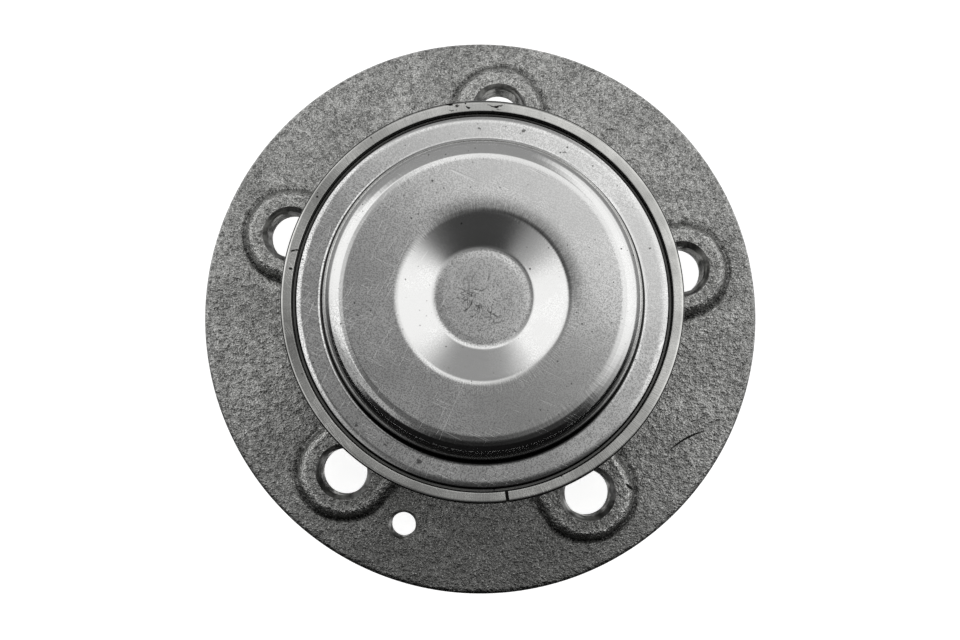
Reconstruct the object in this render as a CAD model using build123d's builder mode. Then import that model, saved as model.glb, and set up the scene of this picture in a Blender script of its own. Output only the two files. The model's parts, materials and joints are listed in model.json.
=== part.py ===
"""Wheel hub bearing of a non-driven wheel: a flanged hub that turns in a two-row ball bearing.

Z is the axle line. z = 0 is the face that the wheel is bolted against, and +Z points inboard,
towards the sensor cap. The first wheel-bolt hole is on +Y.
"""

import os
from math import cos, radians, sin

from build123d import *

os.makedirs("parts", exist_ok=True)

# ---- Driving dimensions, mm ----

# Flange and wheel fixing
FLANGE_R = 75.2
FLANGE_T = 9.0
FLANGE_FRONT_EDGE = 1.0
FLANGE_BACK_ROUND = 1.5
FLANGE_ROOT_R = 46.0
FLANGE_ROOT_ROUND = 6.0
BOLT_CIRCLE = 112.0
WHEEL_BOLTS = 5
FIRST_BOLT_DEG = 90.0
BOLT_BORE_R = 6.2
BOLT_CHAMFER = 1.35
FACE_CHAMFER = 0.5
LAND_Z = 12.5
LAND_FOOT_R = 13.2
LAND_BURY = 1.0
LAND_INNER_R = 36.0
LAND_DRAFT_DEG = 24.0
LAND_ROUND = 2.0
SCREW_CIRCLE_R = 60.3
SCREW_DEG = 254.8
SCREW_BORE_R = 3.3
SCREW_CHAMFER = 0.7

# Pilot and spindle
PILOT_R = 33.25
PILOT_END_Z = -15.0
PILOT_LEAD = (1.5, 2.0)
RECESS_R = (26.0, 16.5)
DISC_PILOT_R = 34.0
DISC_PILOT_END_Z = -6.5
FACE_RELIEF_R = 44.0
FACE_RELIEF = 0.6
SEAL_SHOULDER_R = 37.5
SEAL_SHOULDER_Z = 14.6
SEAT_R = 25.0
SEAT_SHOULDER_Z = 38.7
SEAT_END_Z = 57.0
SEAT_LEAD = 1.5
SPINDLE_END_Z = 62.3
LIP_R = 30.8
LIP_ROUND = 2.5
LIP_DRAFT = 0.6
SPINDLE_BORE_R = 17.0
SPINDLE_MOUTH = (3.0, 5.0)
SPINDLE_FLOOR_RISE = 4.0
WEB_Z = (16.0, 37.0)

# Ball rows
BALL_R = 6.35
BALLS = 15
BALL_PITCH_R = 35.5
ROW_Z = {"outboard": 28.5, "inboard": 48.5}
ROW_START_DEG = {"outboard": 0.0, "inboard": 12.0}
GROOVE_R = 6.55
SHOULDER_PAST_ROW = 1.5
CONTACT_DEG = 38.0
BALL_PLAY = 0.1
INNER_SHOULDER_R = 33.6
INNER_LAND_R = 30.4
OUTER_SHOULDER_R = 37.6
OUTER_LAND_R = 41.2

# Outer ring
RING_R = 48.5
RING_Z = (15.0, 62.0)
RING_LEAD = 0.8
RING_EDGE_ROUND = 0.7
SEAL_BORE_R = 43.5
SEAL_BORE_Z = 21.7
SEAL_BORE_LEAD = 0.4
CAP_BORE_R = 44.9
CAP_BORE_Z = 54.3
CAP_BORE_LEAD = (0.3, 0.6)
RELIEF_BORE_R = 45.8
RELIEF_BORE_Z = 58.6
RELIEF_ROUND = 0.15
LAND_CHAMFER = 0.6
SLOT_DEG = 282.2
SLOT_WIDTH = 0.8
SLOT_DEPTH = 2.0
SLOT_LENGTH = 8.0

# Sensor cap
CAP_SHEET = 1.0
CAP_FACE_Z = 61.6
CAP_SKIRT_Z = 54.6
CAP_BAND_R = 44.3
CAP_BAND_Z = 57.2
CAP_STEP = 0.7
CAP_BEND = 1.2
CAP_EDGE_ROUND = 1.8
DOME_FOOT_R = 38.6
DOME_TOP_R = 37.0
DOME_TOP_Z = 74.0
DOME_ROUND = 5.2
DOME_FOOT_ROUND = 1.0
DIMPLE_RIM_R = 20.35
DIMPLE_RIM_ROUND = 1.6
DIMPLE_FLOOR_R = 11.7
DIMPLE_FLOOR_Z = 71.2
DIMPLE_FLOOR_ROUND = 4.6

# Seal and encoder
SEAL_SHEET = 0.6
SEAL_BEND = 0.8
SLINGER_Z = 15.4
SLINGER_R = 42.5
SLINGER_END_Z = 21.2
CASE_Z = (16.4, 21.4)
CASE_BORE_R = 37.0
# Radii of each side lip: root and tip of its outside, tip and root of its inside
SIDE_LIPS = ((41.0, 41.9, 41.4, 40.2), (39.4, 39.2, 38.7, 38.3))
LIP_ROOT_BELOW_CASE = 1.0
LIP_ROOT_ROUND = 0.3
GREASE_LIP_R = 36.4
GREASE_LIP_Z = (17.4, 17.9)
CARRIER_Z = (55.4, 59.0)
ENCODER_R = (35.4, 43.1)
ENCODER_T = 0.9

# Cages
CAGE_R = (31.5, 36.9)
CAGE_BACK = 8.9
CAGE_MOUTH = 3.0
POCKET_R = 6.55

FIT = 0.01
LIP_GAP = 0.1


# ---- Building helpers ----


def turn(*corners):
    """Revolve a closed outline about the axle line; each corner is (radius, z, rounding)."""
    with BuildSketch(Plane.XZ) as section:
        with BuildLine():
            points = [(r, z) for r, z, _ in corners]
            FilletPolyline(*points, radius=[rounding for _, _, rounding in corners], close=True)
        make_face()
    revolve(section.sketch, axis=Axis.Z)


def press(sheet, side, *corners):
    """Revolve a sheet-metal section: a path of (radius, z, rounding) given one thickness."""
    with BuildSketch(Plane.XZ) as section:
        with BuildLine():
            points = [(r, z) for r, z, _ in corners]
            FilletPolyline(*points, radius=[rounding for _, _, rounding in corners[1:-1]])
            offset(amount=sheet, side=side)
        make_face()
    revolve(section.sketch, axis=Axis.Z)


def groove(row, ring_side):
    """Cut one ball groove. ring_side is +1 in the outer ring and -1 on the inner rings.

    The rows are back to back, so the outer contact leans to the middle of the bearing and the
    inner contact to its ends. The groove's centre is moved away from the contact.
    """
    toward_middle = 1 if row == "outboard" else -1
    shift = GROOVE_R - BALL_R - BALL_PLAY
    centre_r = BALL_PITCH_R - ring_side * shift * cos(radians(CONTACT_DEG))
    centre_z = ROW_Z[row] - ring_side * toward_middle * shift * sin(radians(CONTACT_DEG))
    with BuildSketch(Plane.XZ) as section:
        with Locations((centre_r, centre_z)):
            Circle(GROOVE_R)
    revolve(section.sketch, axis=Axis.Z, mode=Mode.SUBTRACT)


def rims(part, radius):
    """The circular edges of a part that have the given radius."""
    circles = part.edges().filter_by(GeomType.CIRCLE)
    return circles.filter_by(lambda edge: abs(edge.radius - radius) < 1e-3)


def finish(part, name):
    part.label = name
    export_step(part, f"parts/{name}.step")


# ---- Wheel hub: one forging with the flange, pilot, outboard groove and rolled spindle end ----

with BuildPart() as wheel_hub:
    turn(
        (0, WEB_Z[0], 0),
        (RECESS_R[1], WEB_Z[0], 4),
        (RECESS_R[0], PILOT_END_Z, 1),
        (PILOT_R - PILOT_LEAD[0], PILOT_END_Z, 0),
        (PILOT_R, PILOT_END_Z + PILOT_LEAD[1], 0.5),
        (PILOT_R, DISC_PILOT_END_Z - (DISC_PILOT_R - PILOT_R), 0),
        (DISC_PILOT_R, DISC_PILOT_END_Z, 0),
        (DISC_PILOT_R, FACE_RELIEF, 0),
        (FACE_RELIEF_R, FACE_RELIEF, 0),
        (FACE_RELIEF_R + FACE_RELIEF, 0, 0),
        (FLANGE_R - FLANGE_FRONT_EDGE, 0, 0),
        (FLANGE_R, FLANGE_FRONT_EDGE, 0),
        (FLANGE_R, FLANGE_T, FLANGE_BACK_ROUND),
        (FLANGE_ROOT_R, FLANGE_T, FLANGE_ROOT_ROUND),
        (SEAL_SHOULDER_R, SEAL_SHOULDER_Z, 1),
        (INNER_SHOULDER_R, SEAL_SHOULDER_Z, 0),
        (INNER_SHOULDER_R, ROW_Z["outboard"] + SHOULDER_PAST_ROW, 0),
        (INNER_LAND_R, ROW_Z["outboard"] + SHOULDER_PAST_ROW, 0),
        (INNER_LAND_R, SEAT_SHOULDER_Z, 0),
        (SEAT_R - FIT, SEAT_SHOULDER_Z, 0),
        (SEAT_R - FIT, SEAT_END_Z, 0),
        (SEAT_R + SEAT_LEAD, SEAT_END_Z + SEAT_LEAD + FIT, 0),
        (LIP_R, SEAT_END_Z + SEAT_LEAD + FIT, 1),
        (LIP_R - LIP_DRAFT, SPINDLE_END_Z, LIP_ROUND),
        (SPINDLE_BORE_R + SPINDLE_MOUTH[0], SPINDLE_END_Z, 1),
        (SPINDLE_BORE_R, SPINDLE_END_Z - SPINDLE_MOUTH[1], 2),
        (SPINDLE_BORE_R, WEB_Z[1] + SPINDLE_FLOOR_RISE, 3),
        (0, WEB_Z[1], 0),
    )
    groove("outboard", -1)
    # Raised lands for the wheel bolts, running in to the root of the flange
    with BuildSketch(Plane.XY.offset(FLANGE_T - LAND_BURY)):
        with PolarLocations(BOLT_CIRCLE / 2, WHEEL_BOLTS, FIRST_BOLT_DEG):
            Circle(LAND_FOOT_R)
        with PolarLocations((BOLT_CIRCLE / 2 + LAND_INNER_R) / 2, WHEEL_BOLTS, FIRST_BOLT_DEG):
            Rectangle(BOLT_CIRCLE / 2 - LAND_INNER_R, 2 * LAND_FOOT_R)
    extrude(amount=LAND_Z - FLANGE_T + LAND_BURY, taper=LAND_DRAFT_DEG)
    top_edges = wheel_hub.edges().filter_by_position(Axis.Z, LAND_Z - FIT, LAND_Z + FIT)
    fillet(top_edges.filter_by(lambda edge: edge.center().length > FLANGE_ROOT_R), LAND_ROUND)
    # Threaded bores, shown at their minor diameters
    with PolarLocations(BOLT_CIRCLE / 2, WHEEL_BOLTS, FIRST_BOLT_DEG):
        Hole(BOLT_BORE_R)
    chamfer(rims(wheel_hub, BOLT_BORE_R).filter_by_position(Axis.Z, LAND_Z, LAND_Z), BOLT_CHAMFER)
    chamfer(rims(wheel_hub, BOLT_BORE_R).filter_by_position(Axis.Z, 0, 0), FACE_CHAMFER)
    with PolarLocations(SCREW_CIRCLE_R, 1, SCREW_DEG):
        Hole(SCREW_BORE_R)
    chamfer(rims(wheel_hub, SCREW_BORE_R), SCREW_CHAMFER)
finish(wheel_hub.part, "wheel_hub")

# ---- Inboard inner ring, clamped by the rolled lip ----

with BuildPart() as inner_ring:
    turn(
        (SEAT_R, SEAT_SHOULDER_Z + FIT + SEAT_LEAD, 0),
        (SEAT_R + SEAT_LEAD, SEAT_SHOULDER_Z + FIT, 0),
        (INNER_LAND_R, SEAT_SHOULDER_Z + FIT, 0.3),
        (INNER_LAND_R, ROW_Z["inboard"] - SHOULDER_PAST_ROW, 0),
        (INNER_SHOULDER_R, ROW_Z["inboard"] - SHOULDER_PAST_ROW, 0),
        (INNER_SHOULDER_R, SEAT_END_Z + SEAT_LEAD, 0.6),
        (SEAT_R + SEAT_LEAD, SEAT_END_Z + SEAT_LEAD, 0),
        (SEAT_R, SEAT_END_Z, 0),
    )
    groove("inboard", -1)
finish(inner_ring.part, "inner_ring")

# ---- Outer ring: both outer grooves, seal bore, cap bore and the slot in its end face ----

with BuildPart() as outer_ring:
    turn(
        (SEAL_BORE_R + SEAL_BORE_LEAD, RING_Z[0], 0),
        (RING_R - RING_LEAD, RING_Z[0], 0),
        (RING_R, RING_Z[0] + RING_LEAD, 0),
        (RING_R, RING_Z[1], RING_EDGE_ROUND),
        (RELIEF_BORE_R, RING_Z[1], RELIEF_ROUND),
        (RELIEF_BORE_R, RELIEF_BORE_Z, RELIEF_ROUND),
        (CAP_BORE_R + CAP_BORE_LEAD[0], RELIEF_BORE_Z, 0),
        (CAP_BORE_R, RELIEF_BORE_Z - CAP_BORE_LEAD[1], 0),
        (CAP_BORE_R, CAP_BORE_Z, 0),
        (OUTER_LAND_R + LAND_CHAMFER, CAP_BORE_Z, 0),
        (OUTER_LAND_R, CAP_BORE_Z - LAND_CHAMFER, 0),
        (OUTER_LAND_R, ROW_Z["inboard"] + SHOULDER_PAST_ROW, 0),
        (OUTER_SHOULDER_R, ROW_Z["inboard"] + SHOULDER_PAST_ROW, 0),
        (OUTER_SHOULDER_R, ROW_Z["outboard"] - SHOULDER_PAST_ROW, 0),
        (OUTER_LAND_R, ROW_Z["outboard"] - SHOULDER_PAST_ROW, 0),
        (OUTER_LAND_R, SEAL_BORE_Z, 0),
        (SEAL_BORE_R, SEAL_BORE_Z, 0),
        (SEAL_BORE_R, RING_Z[0] + SEAL_BORE_LEAD, 0),
    )
    groove("outboard", +1)
    groove("inboard", +1)
    with BuildSketch(Plane.XY.offset(RING_Z[1] - SLOT_DEPTH)):
        with PolarLocations((CAP_BORE_R + RING_R) / 2, 1, SLOT_DEG):
            Rectangle(SLOT_LENGTH, SLOT_WIDTH)
    extrude(amount=SLOT_DEPTH, mode=Mode.SUBTRACT)
finish(outer_ring.part, "outer_ring")

# ---- Sensor cap, pressed from sheet, and the rubber band on its skirt ----

with BuildPart() as end_cap:
    press(
        CAP_SHEET,
        Side.LEFT,
        (CAP_BAND_R, CAP_SKIRT_Z, 0),
        (CAP_BAND_R, CAP_BAND_Z, 0.4),
        (CAP_BORE_R - FIT, CAP_BAND_Z + CAP_STEP, CAP_BEND),
        (CAP_BORE_R - FIT, CAP_FACE_Z, CAP_EDGE_ROUND),
        (DOME_FOOT_R, CAP_FACE_Z, DOME_FOOT_ROUND),
        (DOME_TOP_R, DOME_TOP_Z, DOME_ROUND),
        (DIMPLE_RIM_R, DOME_TOP_Z, DIMPLE_RIM_ROUND),
        (DIMPLE_FLOOR_R, DIMPLE_FLOOR_Z, DIMPLE_FLOOR_ROUND),
        (0, DIMPLE_FLOOR_Z, 0),
    )
finish(end_cap.part, "end_cap")

with BuildPart() as cap_seal:
    turn(
        (CAP_BAND_R + FIT, CAP_SKIRT_Z, 0.2),
        (CAP_BORE_R - FIT, CAP_SKIRT_Z + 0.3, 0.2),
        (CAP_BORE_R - FIT, CAP_BAND_Z - 0.3, 0.2),
        (CAP_BAND_R + FIT, CAP_BAND_Z - 0.1, 0),
    )
finish(cap_seal.part, "cap_seal")

# ---- Cassette seal at the flange end ----

with BuildPart() as seal_slinger:
    press(
        SEAL_SHEET,
        Side.RIGHT,
        (SLINGER_R, SLINGER_Z, 0),
        (INNER_SHOULDER_R + FIT, SLINGER_Z, SEAL_BEND),
        (INNER_SHOULDER_R + FIT, SLINGER_END_Z, 0),
    )
finish(seal_slinger.part, "seal_slinger")

with BuildPart() as seal_case:
    press(
        SEAL_SHEET,
        Side.LEFT,
        (SEAL_BORE_R - FIT, CASE_Z[0], 0),
        (SEAL_BORE_R - FIT, CASE_Z[1], SEAL_BEND),
        (CASE_BORE_R, CASE_Z[1], 0),
    )
finish(seal_case.part, "seal_case")

with BuildPart() as seal_lip:
    slinger_face = SLINGER_Z + SEAL_SHEET + LIP_GAP
    sleeve_r = INNER_SHOULDER_R + SEAL_SHEET + FIT + LIP_GAP
    rubber_z = CASE_Z[1] - SEAL_SHEET - FIT
    root_z = rubber_z - LIP_ROOT_BELOW_CASE
    side_lips = []
    for root_out, tip_out, tip_in, root_in in SIDE_LIPS:
        side_lips += [
            (root_out, root_z, LIP_ROOT_ROUND),
            (tip_out, slinger_face, 0),
            (tip_in, slinger_face, 0),
            (root_in, root_z, LIP_ROOT_ROUND),
        ]
    turn(
        (SEAL_BORE_R - 1.0, rubber_z, 0),
        (SEAL_BORE_R - 1.0, rubber_z - 0.8, 0),
        *side_lips,
        # Grease lip on the slinger's sleeve, and the bead over the edge of the case
        (GREASE_LIP_R, root_z - 0.2, LIP_ROOT_ROUND),
        (sleeve_r, GREASE_LIP_Z[0], 0),
        (sleeve_r, GREASE_LIP_Z[1], 0),
        (CASE_BORE_R - 1.0, rubber_z - 0.2, LIP_ROOT_ROUND),
        (CASE_BORE_R - 0.8, CASE_Z[1], 0),
        (CASE_BORE_R - FIT, CASE_Z[1], 0),
        (CASE_BORE_R - FIT, rubber_z, 0),
    )
finish(seal_lip.part, "seal_lip")

# ---- Wheel-speed encoder on the inner ring ----

with BuildPart() as encoder_carrier:
    press(
        SEAL_SHEET,
        Side.RIGHT,
        (INNER_SHOULDER_R + FIT, CARRIER_Z[0], 0),
        (INNER_SHOULDER_R + FIT, CARRIER_Z[1], SEAL_BEND),
        (ENCODER_R[1], CARRIER_Z[1], 0),
    )
finish(encoder_carrier.part, "encoder_carrier")

with BuildPart() as encoder_magnet:
    turn(
        (ENCODER_R[0], CARRIER_Z[1] + FIT, 0),
        (ENCODER_R[1], CARRIER_Z[1] + FIT, 0),
        (ENCODER_R[1], CARRIER_Z[1] + ENCODER_T, 0.3),
        (ENCODER_R[0], CARRIER_Z[1] + ENCODER_T, 0.3),
    )
finish(encoder_magnet.part, "encoder_magnet")

# ---- Cages and balls of the two rows ----

for row, row_z in ROW_Z.items():
    toward_middle = 1 if row == "outboard" else -1
    back_z = row_z + toward_middle * CAGE_BACK
    mouth_z = row_z - toward_middle * CAGE_MOUTH
    with BuildPart() as cage:
        turn(
            (CAGE_R[0], mouth_z, 0),
            (CAGE_R[1], mouth_z, 0),
            (CAGE_R[1], back_z, 0.6),
            (CAGE_R[0], back_z, 0.6),
        )
        with Locations(Plane.XY.offset(row_z)):
            with PolarLocations(BALL_PITCH_R, BALLS, ROW_START_DEG[row]):
                Sphere(POCKET_R, mode=Mode.SUBTRACT)
    finish(cage.part, f"cage_{row}")

    places = PolarLocations(BALL_PITCH_R, BALLS, ROW_START_DEG[row]).locations
    for number, place in enumerate(places, start=1):
        with BuildPart(Plane.XY.offset(row_z)) as ball:
            with Locations(place):
                Sphere(BALL_R)
        finish(ball.part, f"ball_{row}_{number:02d}")
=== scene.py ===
"""Wheel hub bearing: the forged hub, the two-row bearing round it and the pressed cap on its end.

Lengths are metres, and millimetres where a name or comment says so. Z is the axle line, and z = 0
is the face that the wheel is bolted against.
"""

import json
from math import acos, atan2, ceil, cos, pi, radians, sin, tan

import bmesh
import bpy
import numpy as np
from bpy.props import FloatProperty, FloatVectorProperty, IntProperty, PointerProperty
from mathutils import Matrix, Vector, noise


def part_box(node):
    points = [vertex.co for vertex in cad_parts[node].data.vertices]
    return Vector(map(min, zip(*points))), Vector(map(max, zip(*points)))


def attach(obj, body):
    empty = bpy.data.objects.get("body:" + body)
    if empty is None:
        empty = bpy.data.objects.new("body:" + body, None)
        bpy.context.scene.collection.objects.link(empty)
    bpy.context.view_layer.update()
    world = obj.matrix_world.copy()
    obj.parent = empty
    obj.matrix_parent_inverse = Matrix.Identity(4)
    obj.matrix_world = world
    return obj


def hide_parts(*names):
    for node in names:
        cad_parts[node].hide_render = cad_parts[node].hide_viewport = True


bl_info = {
    "name": "Wheel Hub Bearing",
    "version": (1, 0, 0),
    "blender": (4, 5, 0),
    "location": "View3D > Sidebar > Hub Bearing",
    "description": "Builds a flanged wheel hub bearing, piece by piece, with its finishes and studio",
    "category": "Add Mesh",
}

MM = 0.001
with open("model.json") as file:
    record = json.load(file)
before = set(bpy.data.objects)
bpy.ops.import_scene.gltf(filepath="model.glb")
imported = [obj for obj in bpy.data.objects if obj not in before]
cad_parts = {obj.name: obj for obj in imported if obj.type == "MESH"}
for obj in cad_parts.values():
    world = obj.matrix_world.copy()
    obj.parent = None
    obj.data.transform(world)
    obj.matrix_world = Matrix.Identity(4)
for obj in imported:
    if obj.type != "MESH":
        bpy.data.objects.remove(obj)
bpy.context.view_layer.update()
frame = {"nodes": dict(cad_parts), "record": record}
MOUNTS = {mount["name"]: mount for mount in frame["record"]["mounts"]}
DIMS = {name: mount["dims"] for name, mount in MOUNTS.items()}
HUB_LOW, HUB_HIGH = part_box("wheel_hub")
RING_LOW, RING_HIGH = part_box("outer_ring")
CAP_LOW, CAP_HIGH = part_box("end_cap")
BALL_LOW, BALL_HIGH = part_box("ball_outboard_01")
BALLS_PER_ROW = sum(name.startswith("ball_outboard") for name in frame["nodes"])


def first_ball(row):
    """Centre of the first ball of a row."""
    low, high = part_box(f"ball_{row}_01")
    return (low + high) / 2


def metres(*values):
    """Values in millimetres, as metres."""
    return tuple(value * MM for value in values)


def corners_mm(*corners):
    """Corners (radius, z, rounding) in millimetres, as metres."""
    return [metres(*corner) for corner in corners]


# ---- Settings ----


def length(name, description, default):
    """A distance that a user may change."""
    unit = {"unit": "LENGTH", "subtype": "DISTANCE", "precision": 5}
    return FloatProperty(name=name, description=description, default=default, **unit)


def colour(name, description, *level):
    """A colour that a user may change; level is its red, green and blue."""
    limits = {"subtype": "COLOR", "size": 3, "min": 0, "max": 1}
    return FloatVectorProperty(name=name, description=description, default=level, **limits)


def share(name, description, default, high=1):
    """A strength or grey level that a user may change."""
    return FloatProperty(name=name, description=description, default=default, min=0, max=high)


class HubSizes(bpy.types.PropertyGroup):
    flange_radius: length("Flange radius", "Outside of the flange", HUB_HIGH.x)
    flange_thickness: length("Flange thickness", "From wheel face to forged back", 9.0 * MM)
    land_height: length("Land height", "From wheel face to the top of a bolt land", 12.5 * MM)
    land_foot: length("Land foot radius", "Foot of a bolt land, about its hole", 13.2 * MM)
    bolt_circle: length("Bolt circle radius", "Bolt centres", DIMS["wheel_bolts"]["pcd_mm"] / 2 * MM)
    bolt_minor: length("Bolt thread minor radius", "Crests", DIMS["wheel_bolts"]["hole_r_mm"] * MM)
    bolt_major: length("Bolt thread major radius", "Roots of the thread", 7.0 * MM)
    bolt_pitch: length("Bolt thread pitch", "Advance in one turn", 1.5 * MM)
    bolt_count: IntProperty(
        name="Wheel bolts", description="Bolt holes", default=DIMS["wheel_bolts"]["count"], min=3, max=8
    )
    screw_minor: length("Screw thread minor radius", "Crests", DIMS["disc_screw"]["r_mm"] * MM)
    screw_major: length("Screw thread major radius", "Roots of the thread", 4.0 * MM)
    screw_pitch: length("Screw thread pitch", "Advance in one turn", 1.25 * MM)
    pilot_radius: length("Wheel pilot radius", "Centres the wheel", DIMS["wheel_pilot"]["r_mm"] * MM)
    disc_radius: length("Disc pilot radius", "Centres the disc", DIMS["disc_pilot"]["r_mm"] * MM)
    lump_height: length("Forging unevenness", "Height of the lumps in the forged skin", 0.07 * MM)


class BearingSizes(bpy.types.PropertyGroup):
    ring_radius: length("Ring radius", "Press-fit outside", DIMS["knuckle_seat"]["r_mm"] * MM)
    ball_radius: length("Ball radius", "Radius of a ball", (BALL_HIGH.z - BALL_LOW.z) / 2)
    ball_pitch: length("Ball pitch radius", "Ball centres", first_ball("outboard").xy.length)
    groove_radius: length("Groove radius", "Section of a ball groove", 6.55 * MM)
    ball_count: IntProperty(
        name="Balls", description="Balls in a row", default=BALLS_PER_ROW, min=6, max=24
    )
    slot_width: length("Slot width", "Notch in the end of the outer ring", 0.8 * MM)
    slot_depth: length("Slot depth", "Notch in the end of the outer ring", 2.0 * MM)
    seal_sheet: length("Seal sheet", "Sheet of the seal's case and slinger", 0.6 * MM)


class CapSizes(bpy.types.PropertyGroup):
    sheet: length("Sheet", "Thickness of the pressed sheet", 1.0 * MM)
    dome_foot: length("Dome foot radius", "Where the dome leaves the flat", 38.6 * MM)
    dome_top: length("Dome top radius", "Before it is rounded", 37.0 * MM)
    dome_round: length("Dome rounding", "Rounding of the dome's edge", 5.2 * MM)
    dimple_rim: length("Dimple rim radius", "Before it is rounded", 20.1 * MM)
    dimple_floor: length("Dimple floor radius", "Before it is rounded", 11.7 * MM)
    dimple_depth: length("Dimple depth", "Below the top of the dome", 2.8 * MM)


class Finishes(bpy.types.PropertyGroup):
    forged_light: colour("Forged skin, light", "Tops of the grain", 0.82, 0.82, 0.80)
    forged_dark: colour("Forged skin, dark", "Hollows of the grain", 0.08, 0.08, 0.077)
    ground_light: colour("Ground steel, light", "End face of the outer ring", 0.92, 0.92, 0.89)
    ground_dark: colour("Ground steel, dark", "Stained patches of the ring", 0.58, 0.58, 0.56)
    cap_light: colour("Cap steel, light", "Pressed sheet", 0.98, 0.98, 0.97)
    cap_dark: colour("Cap steel, dark", "Handling marks on the sheet", 0.48, 0.48, 0.475)
    turned: colour("Turned steel", "Machined faces of the hub", 0.60, 0.60, 0.59)
    thread: colour("Cut thread", "Threads and their chamfers", 0.5, 0.5, 0.49)
    ball: colour("Ball steel", "Balls", 0.80, 0.80, 0.80)
    rubber: colour("Rubber", "Seal lips and cap band", 0.020, 0.020, 0.021)
    magnet: colour("Encoder", "Magnetised rubber ring", 0.035, 0.032, 0.030)
    cage: colour("Cage", "Moulded cages", 0.70, 0.63, 0.48)


class Studio(bpy.types.PropertyGroup):
    camera_height: length("Camera height", "Above the wheel face", 445.02 * MM)
    camera_across: length("Camera across", "Along X from the axle line", -0.95 * MM)
    camera_back: length("Camera back", "Along Y from the axle line", -30.16 * MM)
    camera_lens: FloatProperty(name="Lens", description="Focal length in mm", default=60.18, min=10)
    fill: share("Fill", "Strength of the light from all round", 0.8, high=10)
    tent_radius: length("Tent radius", "Light tent about the part", 2.0)
    overhead: share("Overhead card", "Its grey level", 0.25)
    strip: share("Back strip", "Its grey level", 0.3)
    cloth: share("Dark cloth", "Its grey level, behind the part", 0.28)
    floor_tone: colour("Floor", "Pale floor", 0.86, 0.86, 0.86)


# ---- Outlines and meshes ----

ARC_STEP = radians(14)
TURNED_STEPS = 360
HOLD = 0.25 * MM
CREASE = radians(35)


def rounded(corners, closed=True):
    """Points along an outline of (radius, z, rounding) corners, with an arc at each rounding."""
    points = []
    last = len(corners) - 1
    for index, (r, z, rounding) in enumerate(corners):
        corner = Vector((r, z))
        if rounding == 0 or (not closed and index in (0, last)):
            points.append(corner)
            continue
        back = (Vector(corners[index - 1][:2]) - corner).normalized()
        on = (Vector(corners[(index + 1) % len(corners)][:2]) - corner).normalized()
        turn = pi - back.angle(on)
        centre = corner + (back + on).normalized() * rounding / cos(turn / 2)
        spoke = corner + back * rounding * tan(turn / 2) - centre
        steps = max(2, ceil(turn / ARC_STEP))
        way = turn / steps if back.cross(on) < 0 else -turn / steps
        points += [centre + Matrix.Rotation(way * step, 2) @ spoke for step in range(steps + 1)]
    return points


def held(points):
    """The same outline with a point near each end of its long straights, to shade them flat."""
    dense = [points[0]]
    for start, end in zip(points, points[1:]):
        near_end = HOLD / (end - start).length
        if near_end < 0.25:
            dense += [start.lerp(end, near_end), start.lerp(end, 1 - near_end)]
        dense.append(end)
    return dense


def sheet_section(corners, thickness, side):
    """The closed section of a pressed sheet, on the left (1) or the right (-1) of its path."""
    path = held(rounded(corners, closed=False))
    ways = [(after - before).normalized() for before, after in zip(path, path[1:])]
    other = []
    for point, before, after in zip(path, [ways[0], *ways], [*ways, ways[-1]]):
        along = (before + after).normalized()
        lift = side * thickness / along.dot(before)
        other.append(point + Vector((-along.y, along.x)) * lift)
    return path + other[::-1]


def spread(points, spacing, inside):
    """The same outline with more points where inside(point) says that it needs them."""
    dense = [points[0]]
    for start, end in zip(points, points[1:]):
        pieces = 1
        if inside(start) and inside(end):
            pieces = max(1, ceil((end - start).length / spacing))
        dense += [start.lerp(end, step / pieces) for step in range(1, pieces + 1)]
    return dense


def spin(name, outline, angles=None, closed=True):
    """Turn an outline of (radius, z) about Z into a closed mesh. A radius of 0 is one point."""
    if angles is None:
        angles = np.linspace(0, 2 * pi, TURNED_STEPS, endpoint=False)
    steps = len(angles)
    points, rows, faces = [], [], []
    for r, z in outline:
        if r < 1e-7:
            rows.append([len(points)] * steps)
            points.append((0.0, 0.0, z))
            continue
        rows.append(list(range(len(points), len(points) + steps)))
        points += [(r * cos(angle), r * sin(angle), z) for angle in angles]
    for low, high in zip(rows, rows[1:] + (rows[:1] if closed else [])):
        for step in range(steps):
            onward = (step + 1) % steps
            corners = (low[step], low[onward], high[onward], high[step])
            faces.append(tuple(dict.fromkeys(corners)))
    mesh = bpy.data.meshes.new(name)
    mesh.from_pydata(points, [], faces)
    work = bmesh.new()
    work.from_mesh(mesh)
    bmesh.ops.recalc_face_normals(work, faces=work.faces)
    return to_mesh(work, mesh)


def to_mesh(work, mesh):
    """Write a bmesh to a mesh and return that."""
    work.to_mesh(mesh)
    work.free()
    return mesh


def piece(name, mesh, material, body, slot, *nodes):
    """Put a finished mesh in the scene as a piece that rides on a body in place of CAD nodes."""
    made = bpy.data.objects.new(name, mesh)
    bpy.context.scene.collection.objects.link(made)
    if material is not None:
        mesh.materials.clear()
        mesh.materials.append(material)
    mesh.shade_smooth()
    mesh.set_sharp_from_angle(angle=CREASE)
    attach(made, body)
    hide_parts(*nodes)


def grow(mesh, tree, settings):
    """Run a Geometry Nodes tree on a mesh and return the plain mesh that it makes."""
    base = bpy.data.objects.new(tree.name, mesh)
    bpy.context.scene.collection.objects.link(base)
    modifier = base.modifiers.new(tree.name, "NODES")
    modifier.node_group = tree
    for socket in tree.interface.items_tree:
        if socket.item_type == "SOCKET" and socket.name in settings:
            modifier[socket.identifier] = settings[socket.name]
    depsgraph = bpy.context.evaluated_depsgraph_get()
    made = bpy.data.meshes.new_from_object(base.evaluated_get(depsgraph), depsgraph=depsgraph)
    base.modifiers.clear()
    bpy.data.objects.remove(base)
    return made


# ---- Node helpers ----


def plug(value, socket):
    """Link an input to another node's output, or set it to a plain value."""
    if isinstance(value, bpy.types.NodeSocket):
        socket.id_data.links.new(value, socket)
    else:
        socket.default_value = value


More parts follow.
